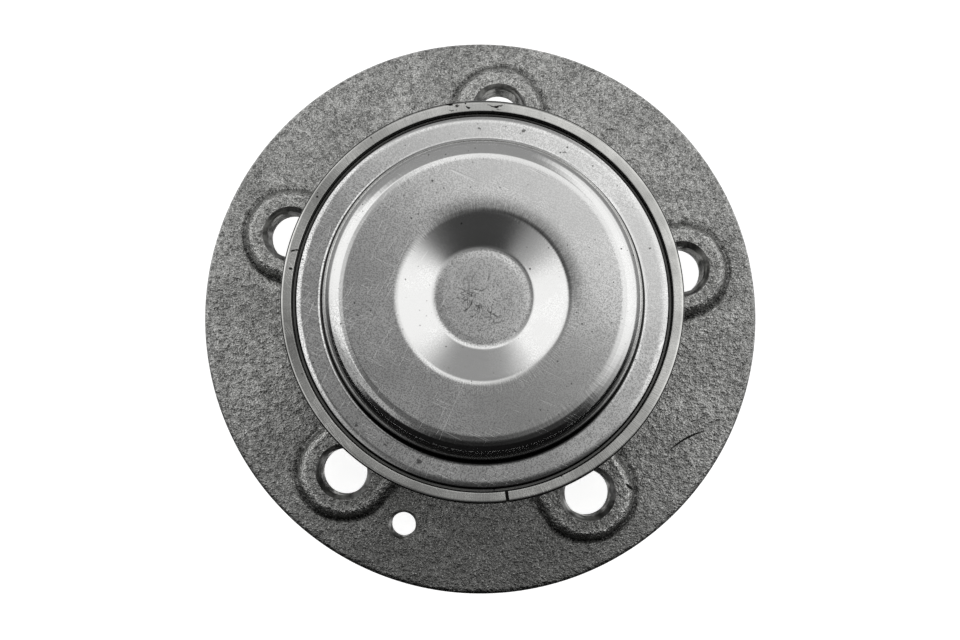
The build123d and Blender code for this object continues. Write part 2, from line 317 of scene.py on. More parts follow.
def add(tree, kind, inputs=None, **settings):
    """Add a node, with its settings set before its inputs."""
    made = tree.nodes.new(kind)
    for name, value in settings.items():
        setattr(made, name, value)
    for name, value in (inputs or {}).items():
        plug(value, made.inputs[name])
    return made


NUMBERS = {float: "NodeSocketFloat", int: "NodeSocketInt"}


def group(name, kind, inputs, outputs, output_type):
    """A new node group. Each input is given as its default number, or else as its socket type."""
    tree = bpy.data.node_groups.new(name, kind)
    for label, given in inputs.items():
        plain = type(given) in NUMBERS
        socket_type = NUMBERS[type(given)] if plain else given
        socket = tree.interface.new_socket(label, in_out="INPUT", socket_type=socket_type)
        if plain:
            socket.default_value = given
    for label in outputs:
        tree.interface.new_socket(label, in_out="OUTPUT", socket_type=output_type)
    return tree, tree.nodes.new("NodeGroupInput").outputs, tree.nodes.new("NodeGroupOutput").inputs


def shader_group(name, inputs, *outputs):
    """A node group of numbers, with the point on the object that it is worked out for."""
    tree, given, out = group(name, "ShaderNodeTree", inputs, outputs, "NodeSocketFloat")
    return tree, given, out, add(tree, "ShaderNodeTexCoord").outputs["Object"]


def tree_of(values):
    """The node tree that the sockets among some values belong to."""
    return next(value.id_data for value in values if isinstance(value, bpy.types.NodeSocket))


def math(operation, *values):
    """A number: one operation, repeated along the values where there are more than two."""
    tree, level = tree_of(values), values[0]
    if len(values) == 1:
        return add(tree, "ShaderNodeMath", {0: level}, operation=operation).outputs[0]
    for value in values[1:]:
        level = add(tree, "ShaderNodeMath", {0: level, 1: value}, operation=operation).outputs[0]
    return level


def times(*values):
    return math("MULTIPLY", *values)


def plus(*values):
    return math("ADD", *values)


def minus(*values):
    return math("SUBTRACT", *values)


def over(*values):
    return math("DIVIDE", *values)


def most(*values):
    return math("MAXIMUM", *values)


def vector(operation, *values):
    """A vector operation; a length, distance or dot product is a number."""
    inputs = dict(enumerate(values))
    made = add(tree_of(values), "ShaderNodeVectorMath", inputs, operation=operation)
    return made.outputs["Value" if operation in ("LENGTH", "DISTANCE", "DOT_PRODUCT") else "Vector"]


def axis(place, index):
    """One of a vector's coordinates."""
    return add(place.id_data, "ShaderNodeSeparateXYZ", {0: place}).outputs[index]


def from_axle(place):
    """Distance from the axle line."""
    return vector("LENGTH", vector("MULTIPLY", place, (1, 1, 0)))


def cloud(place, scale, detail, roughness=0.5):
    """A noise texture's outputs; the first is its number."""
    inputs = {"Vector": place, "Scale": scale, "Detail": detail, "Roughness": roughness}
    return add(place.id_data, "ShaderNodeTexNoise", inputs).outputs


def blend(factor, first, second):
    """Mix two colours by a factor."""
    inputs = {0: factor, 6: first, 7: second}
    return add(factor.id_data, "ShaderNodeMix", inputs, data_type="RGBA").outputs[2]


def band(value, low, high, to_low=0.0, to_high=1.0):
    """Map a value from low..high to another range, held at both ends."""
    inputs = {0: value, 1: low, 2: high, 3: to_low, 4: to_high}
    ease = {"interpolation_type": "SMOOTHSTEP"}
    return add(value.id_data, "ShaderNodeMapRange", inputs, **ease).outputs[0]


def hoop(radius, inner, full, fade, outer):
    """1 between two radii: it rises from inner to full and falls from fade to outer, all in mm."""
    return times(band(radius, inner * MM, full * MM), band(radius, fade * MM, outer * MM, 1, 0))


def near(place, spot, inner, outer, at_inner=1.0, at_outer=0.0):
    """A level that changes with the distance from a spot, from inner to outer; all in mm."""
    gone = vector("DISTANCE", place, metres(*spot))
    return band(gone, inner * MM, outer * MM, at_inner, at_outer)


def effect(make):
    """The shared node group that a function makes, made the first time it is wanted."""
    name = make.__name__.replace("_", " ").title()
    return bpy.data.node_groups.get(name) or make(name)


def use(tree, make, **values):
    """Place a shared group in a material and return its outputs."""
    return add(tree, "ShaderNodeGroup", values, node_tree=effect(make)).outputs


def mask(tree, make, **values):
    """The one output of a shared group."""
    return use(tree, make, **values)[0]


# ---- Shared effects ----

CREVICE_BOUNDS = ("Inner", "Outer", "Floor", "Top", "Fade")


def forged_grain(name):
    """Ridged grain on broader unevenness. Tone picks out its peaks, Cloud its patches."""
    inputs = {"Grain": 0.5 * MM, "Clouds": 9 * MM}
    tree, given, out, place = shader_group(name, inputs, "Height", "Tone", "Cloud")
    heap = cloud(place, over(1.0, given["Grain"]), 3.0, 0.58)[0]
    clouds = cloud(place, over(1.0, given["Clouds"]), 4.0, 0.6)[0]
    plug(heap, out["Height"])
    plug(band(heap, 0.3, 0.7), out["Tone"])
    plug(band(clouds, 0.35, 0.65), out["Cloud"])
    return tree


def specks(name):
    """Small scattered specks; Cover is the share of cells that hold one."""
    inputs = {"Spacing": 2 * MM, "Cover": 0.3, "Size": 0.12}
    tree, given, out, place = shader_group(name, inputs, "Mask")
    ragged = cloud(place, 3.0 / MM, 2.0)["Color"]
    moved = vector("ADD", place, vector("MULTIPLY", ragged, (0.25 * MM,) * 3))
    spots = {"Vector": moved, "Scale": over(1.0, given["Spacing"])}
    cells = add(tree, "ShaderNodeTexVoronoi", spots, feature="F1").outputs
    lot = add(tree, "ShaderNodeSeparateColor", {0: cells["Color"]}).outputs
    reach = times(given["Size"], plus(lot[1], 0.35))
    inside = band(over(cells["Distance"], reach), 0.6, 1.0, 1.0, 0.0)
    plug(times(math("LESS_THAN", lot[0], given["Cover"]), inside), out[0])
    return tree


def hairlines(name):
    """Fine handling scratches that run in one direction, broken up along their length."""
    inputs = {"Angle": 0.0, "Spacing": 1 * MM, "Length": 12 * MM, "Width": 0.02}
    tree, given, out, place = shader_group(name, inputs, "Mask")
    turn = {"Vector": place, "Angle": given["Angle"]}
    turned = add(tree, "ShaderNodeVectorRotate", turn, rotation_type="Z_AXIS").outputs[0]
    turned = vector("ADD", turned, vector("MULTIPLY", (0.31, 0.17, 0), given["Angle"]))
    along = over(1.0, given["Length"])
    rates = {0: along, 1: over(1.0, given["Spacing"]), 2: along}
    drawn = vector("MULTIPLY", turned, add(tree, "ShaderNodeCombineXYZ", rates).outputs[0])
    off = math("ABSOLUTE", minus(cloud(drawn, 1.0, 0.0)[0], 0.5))
    gaps = band(cloud(turned, 0.2 / MM, 0.0)[0], 0.54, 0.64)
    plug(times(band(off, 0.0, given["Width"], 1.0, 0.0), gaps), out[0])
    return tree


def circular_lay(name):
    """Circular lay about the axle line, as turning and grinding leave it."""
    inputs = {"Spacing": 0.15 * MM, "Drift": 0.1}
    tree, given, out, place = shader_group(name, inputs, "Height")
    travel = over(plus(from_axle(place), axis(place, 2)), given["Spacing"])
    wander = times(cloud(place, 60.0, 1.0)[0], given["Drift"])
    inputs = {"W": plus(travel, wander), "Scale": 1.0, "Detail": 2.0}
    lines = add(tree, "ShaderNodeTexNoise", inputs, noise_dimensions="1D").outputs[0]
    plug(lines, out[0])
    return tree


def cut_mark(name):
    """One curved scratch from Start to End; Bow is how far its middle stands off a straight line."""
    ends = {"Start": "NodeSocketVector", "End": "NodeSocketVector"}
    tree, given, out, place = shader_group(name, ends | {"Bow": 0.0, "Width": 0.3 * MM}, "Mask")
    chord = vector("SUBTRACT", given["End"], given["Start"])
    unit = vector("NORMALIZE", chord)
    side = vector("CROSS_PRODUCT", unit, (0, 0, 1))
    gone = vector("SUBTRACT", place, given["Start"])
    along = vector("DOT_PRODUCT", gone, unit)
    done = over(along, vector("LENGTH", chord))
    rise = times(done, minus(1.0, done), 4.0)
    off = minus(vector("DOT_PRODUCT", gone, side), times(rise, given["Bow"]))
    thin = times(given["Width"], most(rise, 0.05))
    drawn = band(over(math("ABSOLUTE", off), thin), 0.3, 1.0, 1.0, 0.0)
    above = band(math("ABSOLUTE", axis(gone, 2)), 2.5 * MM, 3 * MM, 1, 0)
    plug(times(drawn, math("GREATER_THAN", rise, 0.0), above), out[0])
    return tree


def stain(name):
    """A ragged dark stain about a point; Reach is how far from it the last flecks lie."""
    inputs = {"Centre": "NodeSocketVector", "Reach": 3 * MM}
    tree, given, out, place = shader_group(name, inputs, "Mask")
    gone = over(vector("DISTANCE", place, given["Centre"]), given["Reach"])
    longer = vector("MULTIPLY", place, (0.5, 1.3, 1))
    flecks = minus(cloud(longer, 1.1 / MM, 3.0)[0], plus(times(gone, 0.22), 0.42))
    plug(band(flecks, 0.0, 0.05), out[0])
    return tree


def draw_streaks(name):
    """Fine radial streaks that pressing leaves at a bend, within Reach of a Radius."""
    inputs = {"Count": 45.0, "Length": 3 * MM, "Radius": 30 * MM, "Reach": 3 * MM}
    tree, given, out, place = shader_group(name, inputs, "Height")
    flat = vector("MULTIPLY", place, (1, 1, 0))
    radius = from_axle(place)
    turn = vector("MULTIPLY", vector("NORMALIZE", flat), given["Count"])
    along = {0: axis(turn, 0), 1: axis(turn, 1), 2: over(radius, given["Length"])}
    lines = cloud(add(tree, "ShaderNodeCombineXYZ", along).outputs[0], 1.0, 2.0, 0.6)[0]
    off = over(math("ABSOLUTE", minus(radius, given["Radius"])), given["Reach"])
    streaks = times(minus(lines, 0.5), band(off, 0.5, 1.0, 1.0, 0.0))
    plug(streaks, out[0])
    return tree


def crevice(name):
    """Painted shade in the corners and gaps round the cap: between two radii and two heights, thinner to
    the top.
    """
    tree, given, out, place = shader_group(name, dict.fromkeys(CREVICE_BOUNDS, 0.0), "Mask")
    radius, z = from_axle(place), axis(place, 2)
    within = times(
        math("GREATER_THAN", radius, given["Inner"]),
        math("LESS_THAN", radius, given["Outer"]),
        math("GREATER_THAN", z, given["Floor"]),
        band(z, minus(given["Top"], given["Fade"]), given["Top"], 1, 0),
    )
    plug(within, out[0])
    return tree


# ---- Finishes ----

WHITE = (1, 1, 1, 1)
# Dark colour of dirt specks and stains, and of painted shade in gaps and corners.
DIRT_AND_SHADE = (0.02, 0.02, 0.018, 1)
# Dark colour of forging scale and cuts, and of painted shade in the valleys.
SCALE_AND_SHADE = (0.012, 0.012, 0.011, 1)
RING_FACE = RING_HIGH.z / MM
CAP_FACE = 61.6
CAP_CREST = CAP_HIGH.z / MM


def new_material(name):
    """A material, its node tree and the point on the object."""
    material = bpy.data.materials.new(name)
    material.use_nodes = True
    tree = material.node_tree
    return material, tree, add(tree, "ShaderNodeTexCoord").outputs["Object"]


def surface(material, base, rough, normal=None, metallic=1.0):
    """Link a colour, a roughness and a normal to a material's Principled shader."""
    tree = material.node_tree
    shader = tree.nodes["Principled BSDF"].inputs
    plug(base, shader["Base Color"])
    plug(rough, shader["Roughness"])
    plug(metallic, shader["Metallic"])
    if normal is not None:
        plug(normal, shader["Normal"])
    return material


def relief(height, distance):
    """A Bump node's normal; distance is the real height of the relief in metres."""
    inputs = {"Height": height, "Distance": distance, "Strength": 1.0}
    return add(height.id_data, "ShaderNodeBump", inputs).outputs[0]


def solid(level, dim=1.0):
    """A colour setting as a node's colour, dimmed."""
    return (*[channel * dim for channel in level], 1.0)


def grey(level):
    return (level, level, level, 1.0)


def hairline_sets(tree, width, *runs):
    """Masks of sets of hairlines; each run is an angle, a spacing and a length in mm."""
    return [
        mask(tree, hairlines, Angle=angle, Spacing=spacing * MM, Length=reach * MM, Width=width)
        for angle, spacing, reach in runs
    ]


def stains(tree, z, *spots):
    """Masks of stains at one height; each spot is its x, y and reach; all in mm."""
    return [mask(tree, stain, Centre=metres(x, y, z), Reach=reach * MM) for x, y, reach in spots]


def grime_in(tree, inner, outer, floor, top, fade):
    """The mask of painted shade between two radii and two heights; all in mm."""
    bounds = zip(CREVICE_BOUNDS, metres(inner, outer, floor, top, fade))
    return mask(tree, crevice, **dict(bounds))


def forged_skin(finishes):
    """Blasted forging: grain, scale and painted shade in the valleys, wear and painted highlight on the
    ridges, painted shade towards -Y, painted highlight specks and two cuts.
    """
    material, tree, place = new_material("Forged skin")
    grain = use(tree, forged_grain, Grain=1.2 * MM, Clouds=14 * MM)
    grit = use(tree, forged_grain, Grain=0.45 * MM, Clouds=3 * MM)
    # Attributes from mark_lands: scale with painted shade in the valleys, wear with painted highlight on
    # the ridges.
    hollow, wear_and_highlight = (
        add(tree, "ShaderNodeAttribute", attribute_name=name).outputs["Fac"] for name in ("hollow", "ridge")
    )
    patches = band(grain["Cloud"], 0.0, 1.0, 0.75, 1.0)
    # Painted shade: the skin darkens towards -Y, to about a third near (4, -85) mm.
    shade = near(place, (4, -85, 9), 20, 95, 0.32, 1.08)
    tone = times(plus(grain["Tone"], grit["Tone"]), 0.5, patches, shade)
    # Wear with painted highlight: the ridges lighter, most on the -Y side.
    rubbed = times(wear_and_highlight, band(grit["Tone"], 0.2, 0.7, 0.15, 0.9))
    # Painted highlight: bright specks on the peaks of the fine grain.
    painted_glints = times(band(grit["Tone"], 0.78, 0.98), 0.3)
    tone = plus(tone, rubbed, painted_glints)
    metal = blend(tone, solid(finishes.forged_dark), solid(finishes.forged_light))
    # Scale with painted shade in the valleys, and the two cuts, go to one dark colour.
    marks = hollow
    for start, end, bow, width in (
        ((53.8, -32.4, 10), (64.2, -25.6, 10), -0.9, 0.45),
        ((42.6, -41.6, 10), (45.4, -43.4, 10), 0.2, 0.7),
    ):
        ends = {"Start": metres(*start), "End": metres(*end)}
        marks = most(marks, mask(tree, cut_mark, **ends, Bow=bow * MM, Width=width * MM))
    height = plus(grain["Height"], times(grit["Height"], 0.3))
    rough = band(grit["Tone"], 0.0, 1.0, 0.32, 0.17)
    return surface(material, blend(marks, metal, SCALE_AND_SHADE), rough, relief(height, 0.7 * MM))


def turned_steel(finishes, name, spacing, depth):
    """Steel with a circular lay of that spacing and depth, and a few dull specks."""
    material, tree, _ = new_material(name)
    lay = mask(tree, circular_lay, Spacing=spacing, Drift=0.2)
    spots = mask(tree, specks, Spacing=2.5 * MM, Cover=0.25, Size=0.08)
    metal = blend(spots, solid(finishes.turned), solid(finishes.turned, 0.45))
    return surface(material, metal, band(lay, 0.3, 0.7, 0.26, 0.38), relief(lay, depth))


def cut_thread(finishes):
    """Oily steel in the threaded holes."""
    material, tree, _ = new_material("Cut thread")
    lay = mask(tree, circular_lay, Spacing=0.3 * MM, Drift=0.4)
    oily = use(tree, forged_grain, Grain=0.8 * MM, Clouds=3 * MM)["Cloud"]
    metal = blend(oily, solid(finishes.thread, 0.35), solid(finishes.thread))
    return surface(material, metal, band(lay, 0.3, 0.7, 0.3, 0.45), relief(lay, 0.01 * MM))


def ground_steel(finishes):
    """Ground and scratched ring face, with dull films, stains, and painted shade in the gap beside the cap
    and in the slot.
    """
    material, tree, place = new_material("Ground ring steel")
    lay = mask(tree, circular_lay, Spacing=0.12 * MM, Drift=0.6)
    grit = use(tree, forged_grain, Grain=0.4 * MM, Clouds=9 * MM)
    patches = use(tree, forged_grain, Grain=3 * MM, Clouds=17 * MM)["Cloud"]
    outside = band(axis(place, 2), 60.5 * MM, 61.5 * MM, 0.75, 0.0)
    tone = times(most(patches, outside), band(grit["Tone"], 0.0, 1.0, 0.6, 1.0))
    metal = blend(tone, solid(finishes.ground_dark), solid(finishes.ground_light))
    for x, y, reach, level in ((-40.5, 23, 11, 0.6), (-45, -13, 8, 0.5)):
        dark_patch = near(place, (x, y, RING_FACE), 2, reach, level)
        metal = blend(dark_patch, metal, (0.28, 0.28, 0.27, 1))
    spots = ((-11.7, 46.4, 1.6), (-7.1, 46.2, 1.0), (-0.9, 46.9, 2.0), (-46.1, 7.8, 1.0), (-46.6, 3.7, 0.9))
    dark = [
        mask(tree, specks, Spacing=2.2 * MM, Cover=0.4, Size=0.14),
        *stains(tree, RING_FACE, *spots),
        # Painted shade: bore wall and ledge in the gap beside the cap, and the walls of the end slot.
        times(grime_in(tree, 44, 45.99, 58.65, 61.98, 0.02), 0.88),
        times(grime_in(tree, 44, 45.99, 57.9, 58.7, 0.02), 0.8),
        grime_in(tree, 44, 48.45, 59.0, 61.9, 0.02),
    ]
    across = mask(tree, draw_streaks, Radius=47.2 * MM, Reach=2.6 * MM, Length=9 * MM, Count=150.0)
    scratched = minus(lay, *hairline_sets(tree, 0.03, (0.9, 0.5, 20), (2.3, 0.5, 20)))
    height = plus(scratched, times(across, 2.5))
    rough = band(lay, 0.3, 0.7, 0.14, 0.24)
    return surface(material, blend(most(*dark), metal, DIRT_AND_SHADE), rough, relief(height, 0.006 * MM))


def cap_steel(finishes):
    """Pressed sheet: polished cone, edge with a painted highlight, rubbed floor, handling marks, stains,
    painted light towards +Y and painted shade on its top and in its corners.
    """
    material, tree, place = new_material("Cap sheet steel")
    fine = use(tree, forged_grain, Grain=0.32 * MM, Clouds=14 * MM)
    radius = from_axle(place)
    lean = vector("DOT_PRODUCT", place, (0.42, 0.91, 0))
    cone = hoop(radius, 11, 12, 19.5, 21.5)
    # Painted highlight: the dome's edge is lighter all round but its -Y side.
    edge = times(hoop(radius, 31.5, 33, 36, 37), band(lean, -30 * MM, -12 * MM))

    wear = most(*hairline_sets(tree, 0.009, (0.35, 1.6, 60), (-1.1, 2.0, 70), (1.9, 2.6, 60)))
    rubs = ((0.1, 5), (0.6, 12), (1.2, 5), (1.75, 14), (2.2, 6), (2.8, 11), (0.35, 7), (1.5, 9))
    rubbed = most(*hairline_sets(tree, 0.032, *[(angle, 1.1, reach) for angle, reach in rubs]))
    rubbed = times(rubbed, near(place, (0, -1, 71.2), 3, 9))

    tone = times(band(fine["Tone"], 0.1, 0.7), band(fine["Cloud"], 0.0, 1.0, 0.7, 1.0))
    polished = times(most(cone, edge), 0.8)
    # Painted light: the sheet is lighter towards +Y, along the lean.
    tone = most(tone, band(lean, 4 * MM, 24 * MM, 0.0, 0.55), wear, polished)
    metal = blend(tone, solid(finishes.cap_dark), solid(finishes.cap_light))
    # Painted shade: a darker patch on the dome's flat top, towards +X -Y of the dimple.
    dark_patch = times(near(place, (17, -20, 78), 7, 26, 0.7), band(radius, 18.5 * MM, 20.5 * MM))
    metal = blend(dark_patch, metal, (0.5, 0.5, 0.49, 1))

    on_face = ((-27.4, -32.1, 0.9), (-19.4, -36.6, 1.0), (-11.7, -39.5, 0.9), (36.4, 21.1, 0.8))
    on_face += ((39.0, 16.4, 0.7), (-4.5, 41.5, 0.7), (6.2, 41.9, 0.8), (11.7, 38.3, 0.9))
    on_face += ((16.2, 37.5, 0.7), (1.9, 42.6, 0.7))
    blots = most(*stains(tree, CAP_FACE, *on_face), *stains(tree, CAP_CREST, (-1.6, 31.7, 0.7)))
    rim = mask(tree, draw_streaks, Radius=21.0 * MM, Reach=2.6 * MM, Count=64.0)
    # Painted shade: a dark crescent just outside the dimple's rim, on its +Y side.
    painted_rim_shade = times(
        band(lean, 4 * MM, 15 * MM),
        hoop(radius, 19.4, 20.3, 20.3, 25),
        band(rim, -0.15, 0.15, 0.6, 0.8),
    )
    dots = mask(tree, specks, Spacing=1.3 * MM, Cover=0.4, Size=0.17)
    dots = times(dots, band(fine["Cloud"], 0.3, 0.7, 0.3, 1.0))
    marks = times(most(dots, times(blots, 0.8), painted_rim_shade, rubbed), 0.9)
    # Painted shade: the corner at the dome's foot and the skirt in the gap to the ring, in colour and in
    # the tint of their reflection.
    foot = grime_in(tree, 37, 39, 61.5, 71.5, 5)
    painted_shade = most(grime_in(tree, 44.8, 46, 50, 60.9, 0.4), times(foot, 0.9))
    painted_shade_tint = blend(painted_shade, WHITE, grey(0.04))
    plug(painted_shade_tint, tree.nodes["Principled BSDF"].inputs["Specular Tint"])

    bend = mask(tree, draw_streaks, Radius=34.5 * MM, Reach=4.5 * MM)
    height = plus(times(fine["Height"], band(cone, 0.0, 1.0, 0.6, 0.08)), times(plus(bend, rim), 3.2))
    height = minus(height, times(wear, band(cone, 0.0, 1.0, 1.0, 0.2)), rubbed)
    rough = band(fine["Tone"], 0.0, 1.0, 0.18, 0.1)
    base = blend(most(marks, painted_shade), metal, DIRT_AND_SHADE)
    return surface(material, base, rough, relief(height, 0.006 * MM))


def ball_steel(finishes):
    """Lapped steel, faintly clouded."""
    material, tree, _ = new_material("Ball steel")
    clouds = use(tree, forged_grain, Grain=1 * MM, Clouds=4 * MM)["Cloud"]
    metal = blend(clouds, solid(finishes.ball, 0.92), solid(finishes.ball))
    return surface(material, metal, band(clouds, 0.0, 1.0, 0.07, 0.11))


def moulded(name, level, rough, grain, depth):
    """Rubber or polymer with a moulded skin."""
    material, tree, _ = new_material(name)
    skin = use(tree, forged_grain, Grain=grain, Clouds=6 * MM)
    base = blend(skin["Cloud"], solid(level, 0.8), solid(level))
    rough = band(skin["Cloud"], 0.0, 1.0, rough, rough + 0.1)
    return surface(material, base, rough, relief(skin["Height"], depth), metallic=0.0)


# ---- Hub ----

LAND_SLOPE = 1 / tan(radians(24))
LAND_TOP_BLEND = 3.4 * MM
LAND_FOOT_BLEND = 0.6 * MM
LAND_BURIED = 1.0 * MM
VALLEY_DEPTH = 0.35 * MM
VALLEY_WIDTH = 0.5 * MM
VALLEY_OFFSET = 0.1 * MM
RIDGE_INSET = 2.2 * MM
RIDGE_WIDTH = 0.8 * MM
CALM_WIDTH = 3 * MM
SHOULDER_RADIUS = 37.0 * MM
BACK_TOP = 15 * MM
FINE_STEP = radians(0.42)
COARSE_STEP = radians(1.5)
FINE_REACH = radians(15)
BACK_SPACING = 0.65 * MM
FOOT_SPACING = 0.45 * MM
FIRST_BOLT = radians(90)
INNER_SHOULDER, INNER_LAND = 33.6 * MM, 30.4 * MM
OUTER_SHOULDER, OUTER_LAND = 37.6 * MM, 41.2 * MM
CONTACT_ANGLE = radians(38)
BALL_PLAY = 0.1 * MM
GROOVE_POINTS = 12
THREAD_CREST, THREAD_ROOT = 0.75, 0.125
THREAD_STEPS = 40
THREAD_PAST = 1.2 * MM


def soft_min(first, second, width):
    """The smaller of two heights, with a rounded hand-over."""
    mix = np.clip(0.5 + 0.5 * (second - first) / width, 0, 1)
    return second * (1 - mix) + first * mix - width * mix * (1 - mix) / 2


def soft_max(first, second, width):
    return -soft_min(-first, -second, width)


def flange_angles(hub):
    """Angles round the hub, closer together across the bolt lands."""
    pitch = 2 * pi / hub.bolt_count
    fine = np.linspace(-FINE_REACH, FINE_REACH, ceil(2 * FINE_REACH / FINE_STEP), endpoint=False)
    gap = pitch - 2 * FINE_REACH
    coarse = np.linspace(FINE_REACH, FINE_REACH + gap, ceil(gap / COARSE_STEP), endpoint=False)
    one = np.concatenate([fine, coarse])
    return np.concatenate([one + FIRST_BOLT + pitch * number for number in range(hub.bolt_count)])


def land_inset(hub, x, y):
    """How far inside the foot of the nearest bolt land a point of the plan is; each land is a U
    round its hole, open to the axle."""
    best = np.full_like(x, -1.0)
    ragged = 0.35 * MM * lumps(x, y, 5 * MM)
    for number in range(hub.bolt_count):
        angle = FIRST_BOLT + 2 * pi * number / hub.bolt_count
        outward_by = x * cos(angle) + y * sin(angle) - hub.bolt_circle
        aside = y * cos(angle) - x * sin(angle)
        inset = hub.land_foot - np.hypot(np.maximum(outward_by, 0), aside) + ragged
        best = np.where(outward_by > -hub.bolt_circle, np.maximum(best, inset), best)
    return best


def below_bolt(hub, x, y):
    """Which side of its nearest bolt hole a point lies on: 1 is the -Y side and -1 the +Y side."""
    angles = FIRST_BOLT + 2 * pi * np.arange(hub.bolt_count) / hub.bolt_count
    across = x - hub.bolt_circle * np.cos(angles)[:, None]
    up = y - hub.bolt_circle * np.sin(angles)[:, None]
    reach = np.hypot(across, up)
    nearest = reach.argmin(axis=0), np.arange(len(x))
    return -up[nearest] / reach[nearest]


def valley(inset):
    """Nearness to the narrow valley at the foot of a land, from 0 to 1."""
    return np.exp(-(((inset + VALLEY_OFFSET) / VALLEY_WIDTH) ** 2))


def lumps(x, y, size):
    """Uneven forging: noise of about that size, from -1 to 1."""
    return np.array([noise.noise(Vector((u / size, v / size, 0.5))) for u, v in zip(x, y)])


def coordinates(mesh):
    co = np.empty(len(mesh.vertices) * 3)
    mesh.vertices.foreach_get("co", co)
    return co.reshape(-1, 3)


def forge_back(mesh, hub):
    """Raise the lands on the flange's back and leave it as uneven as a forging."""
    co = coordinates(mesh)
    radius = np.hypot(co[:, 0], co[:, 1])
    above = co[:, 2] > hub.flange_thickness - 0.02 * MM
    back = (radius > SHOULDER_RADIUS) & above & (co[:, 2] < BACK_TOP)
    x, y, z = co[back].T
    inset = land_inset(hub, x, y)
    side = hub.flange_thickness - LAND_BURIED + inset * LAND_SLOPE
    land = soft_min(side, np.full_like(side, hub.land_height), LAND_TOP_BLEND)
    raised = soft_max(z, land, LAND_FOOT_BLEND)
    calm = np.clip((hub.flange_radius - radius[back]) / CALM_WIDTH, 0, 1)
    uneven = lumps(x, y, 3.4 * MM) + 0.5 * lumps(x, y, 1.3 * MM)
    co[back, 2] = raised - VALLEY_DEPTH * valley(inset) + hub.lump_height * uneven * calm
    mesh.vertices.foreach_set("co", co.ravel())
    mesh.update()


def mark_lands(mesh, hub):
    """Write two attributes of the points: dark scale with painted shade in the valleys and wear with
    painted highlight on the ridges.
    """
    x, y, z = coordinates(mesh).T
    inset, below = land_inset(hub, x, y), below_bolt(hub, x, y)
    back = (np.hypot(x, y) > SHOULDER_RADIUS) & (z > hub.flange_thickness - 1 * MM)
    # Painted shade: the valley darker and wider on the -Y side of each land, with the scale in it.
    scale = np.clip(0.7 + 0.4 * below, 0.45, 1) * valley(inset) ** (2 - below)
    # Painted highlight with the wear: ridges lighter towards -Y.
    uneven = np.clip(0.7 - 6 * y + 0.9 * lumps(x, y, 4 * MM), 0, 1)
    ridge = np.exp(-(((inset - RIDGE_INSET) / RIDGE_WIDTH) ** 2)) * uneven
    for name, values in (("hollow", scale), ("ridge", ridge)):
        made = mesh.attributes.new(name, "FLOAT", "POINT")
        made.data.foreach_set("value", np.where(back, values, 0.0))


def hub_outline(hub, bearing):
    """Half section of the forging, from the pilot recess round to the spindle end."""
    sizes = (hub.flange_radius, hub.flange_thickness, hub.pilot_radius, hub.disc_radius)
    flange, back, pilot, disc = (size / MM for size in sizes)
    front, end = HUB_LOW.z / MM, HUB_HIGH.z / MM
    wheel_side = corners_mm(
        *((0, 16, 0), (16.5, 16, 4), (26, front, 1)),
        *((pilot - 1.5, front, 0.3), (pilot, front + 2, 0.5), (pilot, -7.25, 0)),
        *((disc, -6.5, 0), (disc, 0.6, 0.2), (44, 0.6, 0.2), (44.6, 0, 0)),
        *((flange - 1, 0, 0.2), (flange, 1, 0.2), (flange, back, 1.5), (46, back, 6)),
        *((37.5, 14.6, 1), (INNER_SHOULDER / MM, 14.6, 0)),
    )
    spindle = corners_mm(
        *((INNER_LAND / MM, 38.7, 0), (24.99, 38.7, 0), (24.99, 57, 0), (26.5, 58.51, 0)),
        *((30.8, 58.51, 1), (30.2, end, 2.5), (20, end, 1), (17, end - 5, 2)),
        *((17, 41, 3), (0, 37, 0)),
    )

    def on_back(point):
        high = point.y > hub.flange_thickness - 0.01 * MM
        return high and 37 * MM < point.x < hub.flange_radius - 1.4 * MM

    def at_foot(point):
        return 66 * MM < point.x < 70.5 * MM and point.y > MM

    outline = spread(rounded(wheel_side, closed=False), BACK_SPACING, on_back)
    outline = spread(outline, FOOT_SPACING, at_foot)
    outline += groove_arc(bearing, "outboard", -1, INNER_SHOULDER, INNER_LAND)
    return outline + rounded(spindle, closed=False)


def groove_arc(bearing, row, ring_side, low_radius, high_radius):
    """Section of a ball groove, upwards from one shoulder or land to the next.

    ring_side is 1 in the outer ring and -1 on the inner rings.
    """
    spoke = bearing.groove_radius
    to_middle = 1 if row == "outboard" else -1
    shift = spoke - bearing.ball_radius - BALL_PLAY
    centre = Vector((bearing.ball_pitch, first_ball(row).z))
    centre -= ring_side * shift * Vector((cos(CONTACT_ANGLE), to_middle * sin(CONTACT_ANGLE)))
    start, end = (acos(ring_side * (radius - centre.x) / spoke) for radius in (low_radius, high_radius))
    turns = np.linspace(-start, end, GROOVE_POINTS)
    return [centre + Vector((ring_side * spoke * cos(turn), spoke * sin(turn))) for turn in turns]


def thread_radius(phase, minor, major):
    """Wall of an internal thread; phase is 0 at the middle of a groove and 0.5 on a crest."""
    off = np.abs(phase - np.round(phase)) * 2
    flank = np.clip((off - THREAD_ROOT) / (THREAD_CREST - THREAD_ROOT), 0, 1)
    return major - (major - minor) * flank


